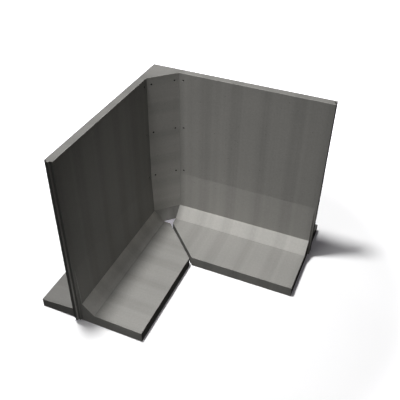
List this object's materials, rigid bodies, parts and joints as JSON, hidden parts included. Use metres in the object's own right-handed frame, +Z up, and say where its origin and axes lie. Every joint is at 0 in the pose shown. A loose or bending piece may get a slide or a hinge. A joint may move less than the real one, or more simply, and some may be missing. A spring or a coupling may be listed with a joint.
{
  "type": "precast concrete retaining wall inside corner unit",
  "caption": "Two inverted-T concrete wall wings at a right angle, with mitred footings, a splayed inner corner column, threaded sockets, and a tongue and a groove at the ends.",
  "frame": {"origin": "centre of the bounding box's base, on the plane that the footings rest on", "axes": "+Z up; the right wing runs from the outer corner along +X and the left wing along -Y, so the inner side faces +X and -Y"},
  "size_m": [2.974, 2.996, 2.5],
  "materials": {
    "cast_concrete": "form-finished grey concrete, matt",
    "socket_steel": "dull zinc-plated steel"
  },
  "bodies": {
    "root": {"left_stem": "cast_concrete", "left_footing": "cast_concrete", "right_stem": "cast_concrete", "right_footing": "cast_concrete", "corner_column": "cast_concrete", "left_wall_socket_1": "socket_steel", "left_wall_socket_2": "socket_steel", "left_wall_socket_3": "socket_steel", "corner_left_socket_1": "socket_steel", "corner_left_socket_2": "socket_steel", "corner_left_socket_3": "socket_steel", "corner_right_socket_1": "socket_steel", "corner_right_socket_2": "socket_steel", "corner_right_socket_3": "socket_steel", "right_wall_socket_1": "socket_steel", "right_wall_socket_2": "socket_steel", "right_wall_socket_3": "socket_steel"}
  },
  "joints": []
}
